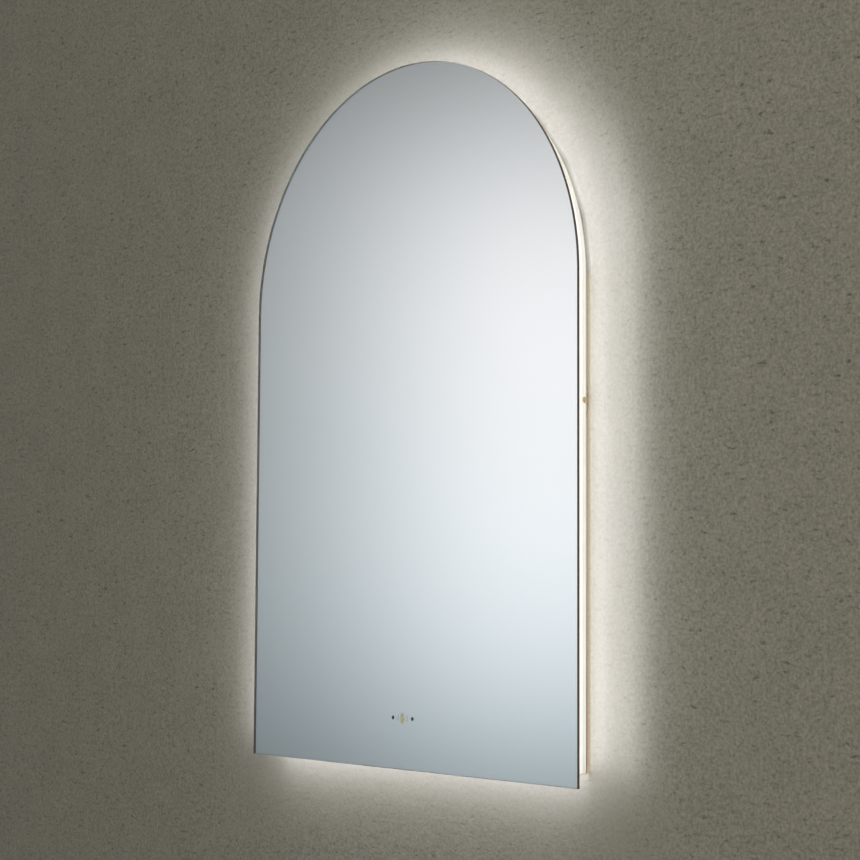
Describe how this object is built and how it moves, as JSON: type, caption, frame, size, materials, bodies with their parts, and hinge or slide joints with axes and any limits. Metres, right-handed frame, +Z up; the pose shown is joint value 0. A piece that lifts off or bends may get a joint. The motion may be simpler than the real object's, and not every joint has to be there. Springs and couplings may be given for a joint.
{
  "type": "lighted bathroom mirror",
  "caption": "Arch-topped wall mirror with a band of light behind its glass edge, a touchless switch low on the glass, a flat rear cover and a folded bracket it hooks onto.",
  "frame": {"origin": "on the wall, midway between the bracket's two lower wall holes, at the middle of the glass's height", "axes": "+Z up, +Y into the wall so the glass faces -Y, +X to the right as the mirror is seen"},
  "size_m": [0.6, 0.036, 0.8999],
  "materials": {
    "zinc_steel": "zinc plated",
    "clear_glass": "polished float glass, clear with a faint green edge",
    "silvering": "silver film with a dark protective back",
    "amber_legend": "olive-gold print, lit from behind",
    "dark_window": "black infrared window",
    "foam_tape": "black foam tape",
    "heating_foil": "amber heating film",
    "black_plastic": "fine matt",
    "circuit_board": "white solder mask",
    "opal_plastic": "opal, satin face, lit from behind",
    "light_emitter": "yellow phosphor in a white package",
    "frame_paint": "warm white powder coat",
    "bare_aluminium": "mill finish",
    "white_plastic": "fine matt",
    "fastener_steel": "zinc plated",
    "cover_steel": "pale grey powder coat",
    "rubber": "soft black",
    "lock_brass": "brass plated, satin",
    "lead_sheath": "soft white sheath"
  },
  "bodies": {
    "wall_bracket": {"wall_bracket": "zinc_steel"},
    "mirror_unit": {"mirror_glass": "clear_glass", "mirror_silver": "silvering", "control_icon": "amber_legend", "sensor_windows": "dark_window", "bond_tape": "foam_tape", "demister_pad": "heating_foil", "sensor_housing": "black_plastic", "sensor_board": "circuit_board", "ir_emitter": "dark_window", "ir_receiver": "dark_window", "icon_light_guide": "opal_plastic", "icon_light": "light_emitter", "frame_arch": "frame_paint", "frame_base": "frame_paint", "corner_keys": "bare_aluminium", "diffuser_arch": "opal_plastic", "diffuser_base": "opal_plastic", "led_strip": "circuit_board", "led_chips": "light_emitter", "cable_clamp": "white_plastic", "clamp_screws": "fastener_steel", "driver_base": "white_plastic", "driver_lid": "white_plastic", "driver_board": "circuit_board", "driver_components": "black_plastic", "driver_screws": "fastener_steel", "rear_cover": "cover_steel", "cover_screws": "fastener_steel", "wall_bumpers": "rubber", "hanger_plate_right": "zinc_steel", "hanger_plate_left": "zinc_steel", "hanger_rivets": "fastener_steel", "lock_screws": "lock_brass", "lock_nuts": "fastener_steel", "cable_grommet": "rubber", "terminal_block": "white_plastic", "terminal_screws": "fastener_steel", "earth_stud": "fastener_steel", "earth_nut": "fastener_steel", "mains_lead": "lead_sheath", "sensor_lead": "lead_sheath", "strip_lead": "lead_sheath", "demister_lead": "lead_sheath", "lead_clips": "white_plastic"}
  },
  "joints": [
    {"name": "lift_off", "type": "slide", "parent": "wall_bracket", "child": "mirror_unit", "axis": [0, 0, 1], "range_m": [0, 0.012]}
  ]
}
